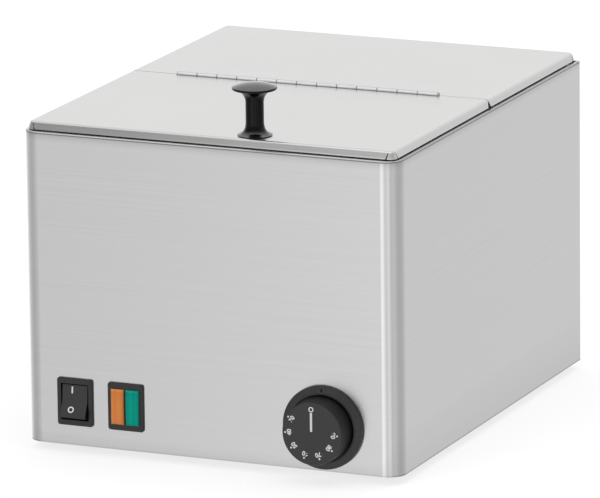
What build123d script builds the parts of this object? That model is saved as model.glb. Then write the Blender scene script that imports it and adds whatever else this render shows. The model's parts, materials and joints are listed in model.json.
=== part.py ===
from build123d import *
import os
from math import radians, tan

# Countertop sausage warmer. A sheet-steel casing holds a heated water bath, and a drop-in
# container hangs in it by its rim. A flat lid in two halves lies on the container's collar,
# and its front half folds back on a piano hinge. A rocker switch, a pair of pilot lamps and
# a thermostat dial sit low on the front.
# Millimetres. X runs left to right seen from the front, Y from front to back, and Z up from
# the surface that the feet stand on. The origin is the middle of the whole outline's floor.

os.makedirs("parts", exist_ok=True)

# Sheet metal and fits
sheet = 1.0                    # casing, tank, lid, rear panel and base plate
drawn_sheet = 0.8              # container and perforated floor
drop_in_clearance = 0.3        # round a loose piece that drops into place
running_clearance = 0.05       # radial, round a pin or shaft that turns
hole_clearance = 0.2           # radial, round a screw or a body in its cut-out

# Container: the rim sets the casing's plan
rim_width = 265.0
rim_length = 325.0
rim_lip = 3.0                  # height of the rim's turned-down edge
collar_inset = 8.5             # from the rim's edge to the raised collar
collar_edge_radius = 1.5
land_width = 7.0               # from the collar's edge to the inside of the bowl
bowl_corner_radius = 35.0
bowl_depth = 150.0             # from the rim's top to the inside floor
bowl_taper = 2.0               # degrees
bowl_floor_radius = 15.0

# Perforated floor in the container
floor_plate_gap = 8.0          # round the plate, to the bowl's wall at its level
floor_plate_corner = 28.0
floor_plate_height = 16.0
floor_hole_radius = 6.0
floor_hole_pitch = 36.0
floor_holes_across = 5
floor_holes_along = 7
floor_leg_side = 14.0          # from the plate's side edges to the legs
floor_leg_end = 44.0           # from the plate's ends to the middle of the legs
floor_leg_width = 24.0

# Casing
hem = 2.2                      # thickness of the closed hem round the top edge
front_corner_radius = 12.0
rear_corner_radius = 2.5
rear_strip = 6.0               # the rounded hem stops this far short of the back
bottom_return = 12.0           # sheet folded in under the casing
rear_return = 16.0             # sheet folded in at the back edges
rear_rail = 22.0               # height of the casing's rail across the back

# Water bath tank
tank_side_gap = 5.0            # from the inside of the bowl's top to the tank's walls
tank_corner_radius = 30.0
tank_floor_radius = 12.0
tank_floor_gap = 5.0           # water under the container
tank_headroom = 6.3            # between the thermostat and the tank above it

# Feet and base plate
foot_height = 5.0
foot_radius = 10.0
foot_top_radius = 9.0
foot_inset = 35.0
foot_recess_radius = 5.0
foot_recess_depth = 2.8
base_inset = 4.0
base_corner_radius = 8.0

# Lid
lid_side_margin = 2.3          # from the rim's side edges to the lid's bend
lid_end_margin = 1.25          # from the rim's ends to the lid's bend
lid_shift_back = 1.25          # the loose lid lies a little to the back
lid_rise = 6.0                 # lid's top above the casing's top
lid_gap = 0.8                  # between the casing's top and the lid's flanges
lid_lean = 18.0                # degrees that the flanges lean out
lid_corner_radius = 3.0
lid_bend_radius = 1.8
slit_top = 0.3                 # width at its top of the slit beside each corner
slit_bottom = 1.3              # and at its bottom
slit_run = 1.0                 # how far a slit's bottom lies from below its top
front_half_length = 164.7      # from the lid's front edge to the seam
seam_gap = 0.6
seam_notch = 2.4               # how far the side flanges are cut back at the seam

# Piano hinge
hinge_end_room = 21.45         # from the hinge's ends to the sides of the container's opening
knuckle_count = 13
knuckle_gap = 0.3
hinge_shift = -0.8             # the hinge sits a little to the left of the lid's middle
barrel_radius = 1.75
barrel_clearance = 0.3
leaf_thickness = 0.6
leaf_width = 15.0
pin_radius = 1.0
pin_head_radius = 1.6
pin_head_length = 0.6

# Lid knob
lid_knob_x = 27.0
lid_knob_inset = 13.2          # from the lid's front edge to the knob's axis
lid_knob_height = 35.3
lid_knob_radius = 15.0
lid_knob_foot_radius = 11.6
lid_knob_foot_edge = 0.6
lid_knob_foot_height = 9.0     # where the foot has run into the stem
lid_knob_stem_radius = 6.1
lid_knob_neck_height = 22.0
lid_knob_neck_radius = 10.0
lid_knob_disc_height = 31.7
lid_knob_edge = 1.0
stud_radius = 2.0
stud_height = 12.0
stud_base_radius = 4.0
stud_base_height = 1.0

# Front controls
control_height = 30.0          # centre line above the casing's bottom
switch_side = 37.2             # from the casing's left side to the switch's centre
lamp_pitch = 37.0              # from the switch's centre to the lamps'
dial_side = 53.5               # from the casing's right side to the dial's centre
bezel_side_lap = 2.0           # beyond the body's sides
bezel_end_lap = 1.35           # beyond the body's top and bottom
bezel_thickness = 1.6
bezel_corner_radius = 1.8
bezel_edge_radius = 0.6
control_body_width = 21.8
control_body_height = 29.8
switch_depth = 24.0
lamp_depth = 20.0
blade_width = 6.3
blade_thickness = 0.8
blade_length = 8.0
blade_pitch = 7.0

# Rocker
rocker_side_wall = 0.9         # of the housing, beside the rocker's window
rocker_end_wall = 2.4          # and above and below it
rocker_side_gap = 0.9
rocker_end_gap = 0.8
rocker_pivot_depth = 2.5       # behind the bezel's face
rocker_back = 8.6              # back of the rocker behind the bezel's face
rocker_tilt = 21.0             # degrees between its two faces
rocker_sink = 5.0              # degrees that the pressed face is tipped in
rocker_well_depth = 14.0
trunnion_radius = 1.2
trunnion_length = 1.5

# Pilot lamps
lens_side_wall = 1.0           # of the housing, beside the lenses
lens_end_wall = 2.9            # and above and below them
lens_rib = 1.65                # of the housing, between the two lenses
lens_proud = 2.0               # beyond the bezel's face
lens_chamfer = 0.8
lens_depth = 10.0

# Thermostat dial
dial_reach = 20.0              # knob's face in front of the casing
dial_screw_room = 1.9          # between the knob's wall and the screws inside it
dial_draft = 0.8               # wider at the base than at the face
dial_wall = 1.8
dial_edge_radius = 0.8
dial_hub_radius = 6.0
ring_gap = 1.0                 # round the knob's base
ring_land = 0.9                # flat crest of the ring
ring_slope = 4.4               # from the crest out to the edge
ring_floor = 1.5
ring_edge = 2.4
ring_crest = 4.2
index_width = 0.9
index_length = 2.2
index_depth = 0.8
shaft_radius = 3.0
shaft_flat = 1.0               # depth of the flat on the shaft
shaft_hold = 12.0              # length of shaft inside the thermostat

# Thermostat body
thermostat_width = 40.0
thermostat_height = 38.0
thermostat_depth = 25.0
thermostat_edge_radius = 2.0
bush_radius = 4.8
bush_length = 2.2
mount_screw_spacing = 28.0

# Heater under the tank
element_width = 8.0
element_height = 6.0
element_half_width = 85.0
element_front = 40.0           # from the casing's front to the element
element_back = 45.0            # from the casing's back to the element
element_bend = 15.0
element_tail = 40.0
element_tail_x = 16.0
clamp_width = 16.0
clamp_thickness = 2.0
clamp_half_length = 95.0
clamp_front = 155.0            # from the casing's front to the first clamp
clamp_back = 80.0              # from the casing's back to the second
heater_stud_radius = 2.5
heater_stud_length = 14.0

# Sensor bulb and its clip
bulb_radius = 3.0
bulb_length = 60.0
bulb_x = 42.0
bulb_front = 75.0              # from the casing's front to the bulb
bulb_gap = 0.5                 # between bulb and tank floor
capillary_radius = 0.8
capillary_bend = 6.0
clip_length = 14.0
clip_wall = 1.5

# Safety cut-out
cutout_x = -42.0
cutout_back = 100.0            # from the casing's front to its centre
cutout_radius = 8.0
cutout_height = 7.0
cutout_ear_length = 32.0
cutout_ear_width = 10.0
cutout_ear_thickness = 1.2
cutout_stud_spacing = 24.0
small_stud_radius = 1.5
small_stud_length = 6.0

# Terminal block and earth stud on the base plate
block_x = -50.0
block_back = 55.0              # from the casing's back to its centre
block_length = 36.0
block_width = 18.0
block_height = 16.0
block_step = 7.0
block_pole_pitch = 12.0
block_poles = 3
block_bore_radius = 2.2
earth_x = 20.0

# Rear panel and cable gland
panel_drop = 6.0               # below the casing's top
vent_length = 30.0
vent_width = 4.0
vent_pitch_x = 44.0
vent_pitch_z = 12.0
vent_columns = 4
vent_rows = 3
gland_side = 45.0              # from the casing's left side to the gland
gland_height = 30.0            # above the casing's bottom
gland_thread_radius = 8.0
gland_hex = 22.0               # across flats
gland_hex_length = 6.0
gland_reach = 19.5
gland_dome_radius = 9.4
gland_bore_radius = 4.5
gland_tail = 9.0
locknut_length = 5.0

# Screws
pan_head_radius = 3.4
pan_head_height = 2.2
screw_radius = 1.8
screw_grip = 6.0               # length of shank behind the first sheet
nut_thickness = 3.0
nut_flats_per_radius = 3.4     # across flats, as a multiple of the thread's radius

# Places worked out from the sizes above
casing_width = rim_width + 2 * (drop_in_clearance + hem)
casing_depth = rim_length + 2 * (drop_in_clearance + hem)
tank_room = control_height + thermostat_height / 2 + tank_headroom
casing_height = tank_room + sheet + tank_floor_gap + drawn_sheet + bowl_depth
casing_bottom = foot_height + sheet
casing_top = casing_bottom + casing_height
ledge_top = casing_top - rim_lip
ledge_bottom = ledge_top - sheet
front_y = (dial_reach - casing_depth - sheet - gland_reach) / 2
back_y = front_y + casing_depth
middle_y = (front_y + back_y) / 2
lid_top = casing_top + lid_rise
lid_under = lid_top - sheet
lid_hem = casing_top + lid_gap
rim_corner_radius = front_corner_radius - hem - drop_in_clearance
bowl_width = rim_width - 2 * (collar_inset + land_width)
bowl_length = rim_length - 2 * (collar_inset + land_width)
tank_width = bowl_width + 2 * tank_side_gap
tank_length = bowl_length + 2 * tank_side_gap
container_floor = casing_top - bowl_depth
tank_floor = container_floor - drawn_sheet - tank_floor_gap
tank_under = tank_floor - sheet
floor_plate_top = container_floor + floor_plate_height
floor_plate_inset = (lid_under - floor_plate_top) * tan(radians(bowl_taper)) + floor_plate_gap
floor_plate_width = bowl_width - 2 * floor_plate_inset
floor_plate_length = bowl_length - 2 * floor_plate_inset
control_z = casing_bottom + control_height
switch_x = switch_side - casing_width / 2
lamp_x = switch_x + lamp_pitch
dial_x = casing_width / 2 - dial_side
lid_width = rim_width - 2 * lid_side_margin
lid_length = rim_length - 2 * lid_end_margin
lid_front_y = middle_y + lid_shift_back - lid_length / 2
lid_back_y = lid_front_y + lid_length
seam_y = lid_front_y + front_half_length
hinge_z = lid_under - leaf_thickness + barrel_radius
hinge_length = bowl_width - 2 * hinge_end_room
knuckle_pitch = hinge_length / knuckle_count
hinge_left = hinge_shift - hinge_length / 2
barrel_gap = barrel_radius + barrel_clearance
lid_knob_y = lid_front_y + lid_knob_inset
cutout_hole_width = control_body_width + 2 * hole_clearance
cutout_hole_height = control_body_height + 2 * hole_clearance
bezel_width = control_body_width + 2 * bezel_side_lap
bezel_height = control_body_height + 2 * bezel_end_lap
rocker_window_width = control_body_width - 2 * rocker_side_wall
rocker_window_height = control_body_height - 2 * rocker_end_wall
rocker_width = rocker_window_width - 2 * rocker_side_gap
rocker_radius = rocker_window_height / 2 - rocker_end_gap
lens_width = (control_body_width - lens_rib) / 2 - lens_side_wall
lens_height = control_body_height - 2 * lens_end_wall
dial_radius = mount_screw_spacing / 2 + pan_head_radius + dial_screw_room + dial_wall
dial_base_radius = dial_radius + dial_draft
ring_opening_radius = dial_base_radius + ring_gap
ring_crest_radius = ring_opening_radius + ring_land
ring_radius = ring_crest_radius + ring_slope
pivot_y = front_y - bezel_thickness + rocker_pivot_depth
gland_x = gland_side - casing_width / 2
gland_z = casing_bottom + gland_height
base_top = foot_height + sheet
foot_points = [
    (side * (casing_width / 2 - foot_inset), middle_y + end * (casing_depth / 2 - foot_inset))
    for side in (-1, 1)
    for end in (-1, 1)
]
base_screw_points = [
    (side * (casing_width / 2 - bottom_return / 2 - sheet), middle_y + step * casing_depth / 3)
    for side in (-1, 1)
    for step in (-1, 0, 1)
]
panel_width = casing_width - 2 * (rear_corner_radius + sheet)
panel_low = casing_bottom + sheet
panel_high = casing_top - panel_drop
panel_screw_x = casing_width / 2 - rear_return / 2 - sheet
panel_screw_z = (
    panel_low + rear_return,
    (panel_low + panel_high) / 2,
    panel_high - rear_rail / 2,
)
panel_screw_points = [(side * panel_screw_x, z) for side in (-1, 1) for z in panel_screw_z]


def facing_front(y):
    """The upright plane at y whose normal points to the front; its axes are X and Z."""
    return Plane.XZ.offset(-y)


def facing_back(y):
    """The upright plane at y whose normal points to the back; its axes are -X and Z."""
    return Plane(origin=(0, y, 0), x_dir=(-1, 0, 0), z_dir=(0, 1, 0))


def casing_outline(inset):
    """Draw the casing seen from above, drawn in by inset, in the sketch at hand."""
    with Locations((0, middle_y)):
        Rectangle(casing_width - 2 * inset, casing_depth - 2 * inset)
    fillet(vertices().group_by(Axis.Y)[0], front_corner_radius - inset)
    fillet(vertices().group_by(Axis.Y)[-1], rear_corner_radius - inset)


def centred_outline(width, length, radius):
    """Draw a rounded rectangle over the casing's middle in the sketch at hand."""
    with Locations((0, middle_y)):
        RectangleRounded(width, length, radius)


def bowl_block(width, length, corner_radius, top, bottom, taper, floor_radius):
    """A solid bowl, widest at its top, with rounded corners and a rounded floor edge."""
    with BuildPart() as block:
        with BuildSketch(Plane.XY.offset(top)):
            centred_outline(width, length, corner_radius)
        extrude(amount=bottom - top, taper=taper)
        fillet(block.faces().sort_by(Axis.Z)[0].edges(), floor_radius)
    return block.part


def pan_screw(length):
    """A pan-head screw along Z: the head stands on z = 0 and the shank hangs below."""
    with BuildPart() as screw:
        with BuildSketch():
            Circle(pan_head_radius)
        extrude(amount=pan_head_height)
        chamfer(screw.faces().sort_by(Axis.Z)[-1].edges(), pan_head_height / 3)
        with BuildSketch():
            Circle(screw_radius)
        extrude(amount=-length)
    return screw.part


def hex_nut(thread_radius, thickness):
    """A hexagon nut that stands on z = 0, with its thread's bore along Z."""
    with BuildPart() as nut:
        with BuildSketch():
            RegularPolygon(thread_radius * nut_flats_per_radius / 2, 6, major_radius=False)
            Circle(thread_radius + running_clearance, mode=Mode.SUBTRACT)
        extrude(amount=thickness)
    return nut.part


# Casing: front and sides in one sheet, with a ledge inside its hem for the container's rim
with BuildPart() as casing:
    with BuildSketch(Plane.XY.offset(casing_bottom)):
        casing_outline(0)
    extrude(amount=casing_height)
    fillet(casing.faces().sort_by(Axis.Z)[-1].edges(), hem / 2)
    with BuildSketch(Plane.XY.offset(casing_bottom)):
        casing_outline(0)
        with Locations((0, middle_y - rear_strip)):
            Rectangle(casing_width, casing_depth, mode=Mode.SUBTRACT)
    extrude(amount=casing_height)
    with BuildSketch(Plane.XY.offset(casing_bottom + sheet)):
        casing_outline(sheet)
    extrude(amount=ledge_bottom - casing_bottom - sheet, mode=Mode.SUBTRACT)
    with BuildSketch(Plane.XY.offset(casing_bottom)):
        opening = 2 * bottom_return
        centred_outline(casing_width - opening, casing_depth - opening, front_corner_radius)
    extrude(amount=sheet, mode=Mode.SUBTRACT)
    with BuildSketch(Plane.XY.offset(ledge_top)):
        casing_outline(hem)
    extrude(amount=rim_lip, mode=Mode.SUBTRACT)
    with BuildSketch(Plane.XY.offset(ledge_bottom)):
        centred_outline(tank_width, tank_length, tank_corner_radius)
    extrude(amount=sheet, mode=Mode.SUBTRACT)
    with BuildSketch(facing_back(back_y)):
        with Locations((0, (casing_bottom + sheet + casing_top - rear_rail) / 2)):
            Rectangle(casing_width - 2 * rear_return, casing_height - sheet - rear_rail)
    extrude(amount=-sheet, mode=Mode.SUBTRACT)
    with BuildSketch(facing_front(front_y)):
        with Locations((switch_x, control_z), (lamp_x, control_z)):
            Rectangle(cutout_hole_width, cutout_hole_height)
        with Locations((dial_x, control_z)):
            Circle(bush_radius + hole_clearance)
            with GridLocations(mount_screw_spacing, 1, 2, 1):
                Circle(screw_radius + hole_clearance)
    extrude(amount=-sheet, mode=Mode.SUBTRACT)
    with BuildSketch(facing_back(back_y)):
        with Locations(*panel_screw_points):
            Circle(screw_radius + running_clearance)
    extrude(amount=-sheet, mode=Mode.SUBTRACT)
    with BuildSketch(Plane.XY.offset(casing_bottom)):
        with Locations(*base_screw_points):
            Circle(screw_radius + running_clearance)
    extrude(amount=sheet, mode=Mode.SUBTRACT)
casing.part.label = "casing"
export_step(casing.part, "parts/casing.step")

# Base plate: closes the casing from below, slotted for cooling air
with BuildPart() as base_plate:
    with BuildSketch(Plane.XY.offset(foot_height)):
        inset = 2 * base_inset
        centred_outline(casing_width - inset, casing_depth - inset, base_corner_radius)
        with Locations((0, middle_y)):
            with GridLocations(vent_pitch_x, vent_pitch_z, vent_columns, vent_rows):
                SlotOverall(vent_length, vent_width, mode=Mode.SUBTRACT)
        with Locations(*base_screw_points, *foot_points):
            Circle(screw_radius + hole_clearance, mode=Mode.SUBTRACT)
        with Locations((block_x, back_y - block_back), (earth_x, back_y - block_back)):
            Circle(screw_radius + hole_clearance, mode=Mode.SUBTRACT)
    extrude(amount=sheet)
base_plate.part.label = "base_plate"
export_step(base_plate.part, "parts/base_plate.step")

# Base screws: up through the base plate into the casing's bottom return
with BuildPart(Plane.XY.offset(foot_height)) as base_screws:
    with Locations(*base_screw_points):
        add(pan_screw(screw_grip), rotation=(180, 0, 0))
base_screws.part.label = "base_screws"
export_step(base_screws.part, "parts/base_screws.step")

# Rubber feet, their screws and their nuts
with BuildPart() as feet:
    with Locations(*foot_points):
        Cone(foot_top_radius, foot_radius, foot_height, align=(Align.CENTER, Align.CENTER, Align.MIN))
    with Locations(*foot_points):
        Cylinder(
            foot_recess_radius, foot_recess_depth, mode=Mode.SUBTRACT,
            align=(Align.CENTER, Align.CENTER, Align.MIN),
        )
        Cylinder(
            screw_radius + hole_clearance, foot_height, mode=Mode.SUBTRACT,
            align=(Align.CENTER, Align.CENTER, Align.MIN),
        )
feet.part.label = "feet"
export_step(feet.part, "parts/feet.step")

foot_screw_length = foot_height - foot_recess_depth + sheet + nut_thickness + sheet
with BuildPart(Plane.XY.offset(foot_recess_depth)) as foot_screws:
    with Locations(*foot_points):
        add(pan_screw(foot_screw_length), rotation=(180, 0, 0))
foot_screws.part.label = "foot_screws"
export_step(foot_screws.part, "parts/foot_screws.step")

with BuildPart(Plane.XY.offset(base_top)) as foot_nuts:
    with Locations(*foot_points):
        add(hex_nut(screw_radius, nut_thickness))
foot_nuts.part.label = "foot_nuts"
export_step(foot_nuts.part, "parts/foot_nuts.step")

# Rear panel: slotted sheet screwed over the casing's open back
with BuildPart() as rear_panel:
    with BuildSketch(facing_back(back_y)):
        with Locations((0, (panel_low + panel_high) / 2)):
            Rectangle(panel_width, panel_high - panel_low)
            with GridLocations(vent_pitch_x, vent_pitch_z, vent_columns, vent_rows):
                SlotOverall(vent_length, vent_width, mode=Mode.SUBTRACT)
        with Locations(*panel_screw_points):
            Circle(screw_radius + hole_clearance, mode=Mode.SUBTRACT)
        with Locations((-gland_x, gland_z)):
            Circle(gland_thread_radius + hole_clearance, mode=Mode.SUBTRACT)
    extrude(amount=sheet)
rear_panel.part.label = "rear_panel"
export_step(rear_panel.part, "parts/rear_panel.step")

with BuildPart(facing_back(back_y + sheet)) as rear_panel_screws:
    with Locations(*panel_screw_points):
        add(pan_screw(screw_grip))
rear_panel_screws.part.label = "rear_panel_screws"
export_step(rear_panel_screws.part, "parts/rear_panel_screws.step")

# Cable gland: hexagon, dome and threaded tail through the rear panel, with a locknut inside
with BuildPart() as cable_gland:
    with BuildSketch(facing_back(back_y + sheet)):
        with Locations((-gland_x, gland_z)):
            RegularPolygon(gland_hex / 2, 6, major_radius=False)
    extrude(amount=gland_hex_length)
    with BuildSketch(facing_back(back_y + sheet + gland_hex_length)):
        with Locations((-gland_x, gland_z)):
            Circle(gland_dome_radius)
    extrude(amount=gland_reach - gland_hex_length)
    fillet(cable_gland.faces().sort_by(Axis.Y)[-1].edges(), gland_dome_radius - gland_bore_radius - sheet)
    with BuildSketch(facing_back(back_y + sheet)):
        with Locations((-gland_x, gland_z)):
            Circle(gland_thread_radius)
    extrude(amount=-gland_tail)
    with BuildSketch(facing_back(back_y + sheet + gland_reach)):
        with Locations((-gland_x, gland_z)):
            Circle(gland_bore_radius)
    extrude(amount=-gland_reach - gland_tail, mode=Mode.SUBTRACT)
cable_gland.part.label = "cable_gland"
export_step(cable_gland.part, "parts/cable_gland.step")

with BuildPart() as gland_locknut:
    with BuildSketch(facing_back(back_y)):
        with Locations((-gland_x, gland_z)):
            RegularPolygon(gland_hex / 2, 6, major_radius=False)
            Circle(gland_thread_radius + running_clearance, mode=Mode.SUBTRACT)
    extrude(amount=-locknut_length)
gland_locknut.part.label = "gland_locknut"
export_step(gland_locknut.part, "parts/gland_locknut.step")

# Water bath tank: its flange is welded up under the casing's ledge
tank_outside = bowl_block(
    tank_width + 2 * sheet, tank_length + 2 * sheet, tank_corner_radius + sheet,
    ledge_bottom, tank_under, 0, tank_floor_radius + sheet,
)
tank_inside = bowl_block(
    tank_width, tank_length, tank_corner_radius, ledge_bottom, tank_floor, 0, tank_floor_radius
)
with BuildPart() as tank:
    with BuildSketch(Plane.XY.offset(ledge_bottom)):
        casing_outline(sheet + drop_in_clearance)
    extrude(amount=-sheet)
    add(tank_outside)
    add(tank_inside, mode=Mode.SUBTRACT)
tank.part.label = "tank"
export_step(tank.part, "parts/tank.step")

# Container: lipped rim on the ledge, raised collar for the lid, tapered bowl
bowl_outside = bowl_block(
    bowl_width + 2 * drawn_sheet, bowl_length + 2 * drawn_sheet, bowl_corner_radius + drawn_sheet,
    lid_under, container_floor - drawn_sheet, bowl_taper, bowl_floor_radius + drawn_sheet,
)
bowl_inside = bowl_block(
    bowl_width, bowl_length, bowl_corner_radius, lid_under, container_floor, bowl_taper,
    bowl_floor_radius,
)
with BuildPart() as container:
    with BuildSketch(Plane.XY.offset(ledge_top)):
        centred_outline(rim_width, rim_length, rim_corner_radius)
    extrude(amount=rim_lip)
    with BuildSketch(Plane.XY.offset(casing_top)):
        step = 2 * collar_inset
        centred_outline(rim_width - step, rim_length - step, bowl_corner_radius + land_width)
    extrude(amount=lid_under - casing_top)
    fillet(container.faces().sort_by(Axis.Z)[-1].edges(), collar_edge_radius)
    with BuildSketch(Plane.XY.offset(ledge_top)):
        wall = 2 * drawn_sheet
        centred_outline(rim_width - wall, rim_length - wall, rim_corner_radius - drawn_sheet)
    extrude(amount=rim_lip - drawn_sheet, mode=Mode.SUBTRACT)
    with BuildSketch(Plane.XY.offset(ledge_top)):
        step = 2 * (collar_inset + drawn_sheet)
        radius = bowl_corner_radius + land_width - drawn_sheet
        centred_outline(rim_width - step, rim_length - step, radius)
    extrude(amount=lid_under - drawn_sheet - ledge_top, mode=Mode.SUBTRACT)
    add(bowl_outside)
    add(bowl_inside, mode=Mode.SUBTRACT)
container.part.label = "container"
export_step(container.part, "parts/container.step")

# Perforated floor: keeps the food off the container's hot bottom
with BuildPart() as perforated_floor:
    with BuildSketch(Plane.XY.offset(floor_plate_top)):
        centred_outline(floor_plate_width, floor_plate_length, floor_plate_corner)
        with Locations((0, middle_y)):
            with GridLocations(
                floor_hole_pitch, floor_hole_pitch, floor_holes_across, floor_holes_along
            ):
                Circle(floor_hole_radius, mode=Mode.SUBTRACT)
    extrude(amount=-drawn_sheet)
perforated_floor.part.label = "perforated_floor"
export_step(perforated_floor.part, "parts/perforated_floor.step")

# Legs: four strips welded on edge under the perforated floor
with BuildPart() as floor_legs:
    with BuildSketch(Plane.XY.offset(floor_plate_top - drawn_sheet)):
        with Locations((0, middle_y)):
            with GridLocations(
                floor_plate_width - 2 * floor_leg_side,
                floor_plate_length - 2 * floor_leg_end, 2, 2,
            ):
                Rectangle(drawn_sheet, floor_leg_width)
    extrude(amount=drawn_sheet - floor_plate_height)
floor_legs.part.label = "floor_legs"
export_step(floor_legs.part, "parts/floor_legs.step")


def lid_block(outer_y, inner_y, top, inset):
    """A block that fills half the lid from top down, drawn in by inset; its sides lean out."""
    outward = 1 if outer_y > inner_y else -1
    edge_y = outer_y - outward * inset
    with BuildPart() as block:
        with BuildSketch(Plane.XY.offset(top)):
            with Locations((0, (edge_y + inner_y) / 2)):
                Rectangle(lid_width - 2 * inset, abs(edge_y - inner_y))
            fillet(vertices().sort_by(Axis.Y)[::outward][-2:], lid_corner_radius - inset)
        extrude(amount=lid_hem - top, taper=-lid_lean)
        split(bisect_by=Plane(origin=(0, inner_y, 0), z_dir=(0, outward, 0)))
    return block.part


def slit_outline(edge, away):
    """Draw a slit in the sketch at hand, from the corner piece's edge away from the corner."""
    Polygon(
        (edge, lid_under),
        (edge + away * slit_top, lid_under),
        (edge + away * (slit_run + slit_bottom), lid_hem - sheet),
        (edge + away * slit_run, lid_hem - sheet),
        align=None,
    )


def lid_half(outer_y, inner_y):
    """Half of the lid: flanges on three sides, slit beside its corners, open at inner_y."""
    outward = 1 if outer_y > inner_y else -1
    slit_x = lid_width / 2 - lid_corner_radius
    slit_y = outer_y - outward * lid_corner_radius
    with BuildPart() as half:
        add(lid_block(outer_y, inner_y, lid_top, 0))
        top_edges = half.faces().sort_by(Axis.Z)[-1].edges()
        seam_edge = top_edges.sort_by(Axis.Y)[::outward][0]
        fillet([edge for edge in top_edges if edge != seam_edge], lid_bend_radius)
        inset = sheet * (1 - tan(radians(lid_lean)))
        add(lid_block(outer_y, inner_y, lid_under, inset), mode=Mode.SUBTRACT)
        with BuildSketch(Plane.YZ):
            with BuildLine():
                Polyline(
                    (inner_y, lid_under), (inner_y, lid_hem),
                    (inner_y + outward * seam_notch, lid_hem), close=True,
                )
            make_face()
        extrude(amount=lid_width, both=True, mode=Mode.SUBTRACT)
        with BuildSketch(Plane.YZ):
            slit_outline(slit_y, -outward)
        extrude(amount=lid_width, both=True, mode=Mode.SUBTRACT)
        with BuildSketch(facing_front(outer_y)):
            for side in (-1, 1):
                slit_outline(side * slit_x, -side)
        extrude(amount=lid_corner_radius, both=True, mode=Mode.SUBTRACT)
        with BuildSketch(Plane.XY.offset(lid_under)):
            with Locations((hinge_shift, seam_y)):
                Rectangle(hinge_length + 2 * pin_head_length, 2 * barrel_gap)
        extrude(amount=sheet, mode=Mode.SUBTRACT)
    return half.part


def hinge_leaf(outward, knuckles):
    """A hinge leaf on one side of the seam, with the knuckles that it carries."""
    leaf_bottom = lid_under - leaf_thickness
    with BuildPart() as leaf:
        with BuildSketch(Plane.XY.offset(leaf_bottom)):
            with Locations((hinge_shift, seam_y + outward * (barrel_gap + leaf_width) / 2)):
                Rectangle(hinge_length, leaf_width - barrel_gap)
        extrude(amount=leaf_thickness)
        for knuckle in knuckles:
            start = hinge_left + knuckle * knuckle_pitch + knuckle_gap / 2
            with BuildSketch(Plane.YZ.offset(start)):
                with Locations((seam_y, hinge_z)):
                    Circle(barrel_radius)
                with Locations((seam_y + outward * barrel_gap / 2, leaf_bottom + leaf_thickness / 2)):
                    Rectangle(barrel_gap, leaf_thickness)
                with Locations((seam_y, hinge_z)):
                    Circle(pin_radius + running_clearance, mode=Mode.SUBTRACT)
            extrude(amount=knuckle_pitch - knuckle_gap)
    return leaf.part


# Lid: two folded halves that meet at the seam
with BuildPart() as lid_front:
    add(lid_half(lid_front_y, seam_y - seam_gap / 2))
lid_front.part.label = "lid_front"
export_step(lid_front.part, "parts/lid_front.step")

with BuildPart() as lid_rear:
    add(lid_half(lid_back_y, seam_y + seam_gap / 2))
lid_rear.part.label = "lid_rear"
export_step(lid_rear.part, "parts/lid_rear.step")

# Piano hinge: leaves welded under the two halves, knuckles turn about, one headed pin
with BuildPart() as hinge_leaf_front:
    add(hinge_leaf(-1, range(1, knuckle_count, 2)))
hinge_leaf_front.part.label = "hinge_leaf_front"
export_step(hinge_leaf_front.part, "parts/hinge_leaf_front.step")

with BuildPart() as hinge_leaf_rear:
    add(hinge_leaf(1, range(0, knuckle_count, 2)))
hinge_leaf_rear.part.label = "hinge_leaf_rear"
export_step(hinge_leaf_rear.part, "parts/hinge_leaf_rear.step")

barrel_length = hinge_length - knuckle_gap
with BuildPart() as hinge_pin:
    with BuildSketch(Plane.YZ.offset(hinge_shift - barrel_length / 2)):
        with Locations((seam_y, hinge_z)):
            Circle(pin_radius)
    extrude(amount=barrel_length)
    for end in (-1, 1):
        with BuildSketch(Plane.YZ.offset(hinge_shift + end * barrel_length / 2)):
            with Locations((seam_y, hinge_z)):
                Circle(pin_head_radius)
        extrude(amount=end * pin_head_length)
hinge_pin.part.label = "hinge_pin"
export_step(hinge_pin.part, "parts/hinge_pin.step")

# Lid knob: a turned bobbin on a stud that is welded to the front half
knob_section = Plane(origin=(lid_knob_x, lid_knob_y, lid_top), x_dir=(1, 0, 0), z_dir=(0, -1, 0))
knob_axis = Axis((lid_knob_x, lid_knob_y, lid_top), (0, 0, 1))
with BuildPart() as lid_knob:
    with BuildSketch(knob_section):
        with BuildLine():
            Line((0, 0), (lid_knob_foot_radius, 0))
            foot_edge = Line((lid_knob_foot_radius, 0), (lid_knob_foot_radius, lid_knob_foot_edge))
            Spline(
                foot_edge @ 1, (lid_knob_stem_radius, lid_knob_foot_height),
                tangents=((-1, 0.25), (0, 1)),
            )
            stem = Line(
                (lid_knob_stem_radius, lid_knob_foot_height),
                (lid_knob_stem_radius, lid_knob_neck_height),
            )
            neck = Spline(
                stem @ 1, (lid_knob_neck_radius, lid_knob_disc_height - 2 * lid_knob_edge),
                tangents=((0, 1), (1, 1)),
            )
            under = Line(neck @ 1, (lid_knob_radius - lid_knob_edge, lid_knob_disc_height - lid_knob_edge))
            rim = ThreePointArc(
                under @ 1, (lid_knob_radius, lid_knob_disc_height),
                (lid_knob_radius - lid_knob_edge, lid_knob_disc_height + lid_knob_edge),
            )
            Spline(rim @ 1, (0, lid_knob_height), tangents=((-1, 0.4), (-1, 0)))
            Line((0, lid_knob_height), (0, 0))
        make_face()
    revolve(axis=knob_axis)
    with BuildSketch(Plane.XY.offset(lid_top)):
        with Locations((lid_knob_x, lid_knob_y)):
            Circle(stud_base_radius + hole_clearance)
    extrude(amount=stud_base_height + hole_clearance, mode=Mode.SUBTRACT)
    with BuildSketch(Plane.XY.offset(lid_top)):
        with Locations((lid_knob_x, lid_knob_y)):
            Circle(stud_radius + running_clearance)
    extrude(amount=stud_height + hole_clearance, mode=Mode.SUBTRACT)
lid_knob.part.label = "lid_knob"
export_step(lid_knob.part, "parts/lid_knob.step")

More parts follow.
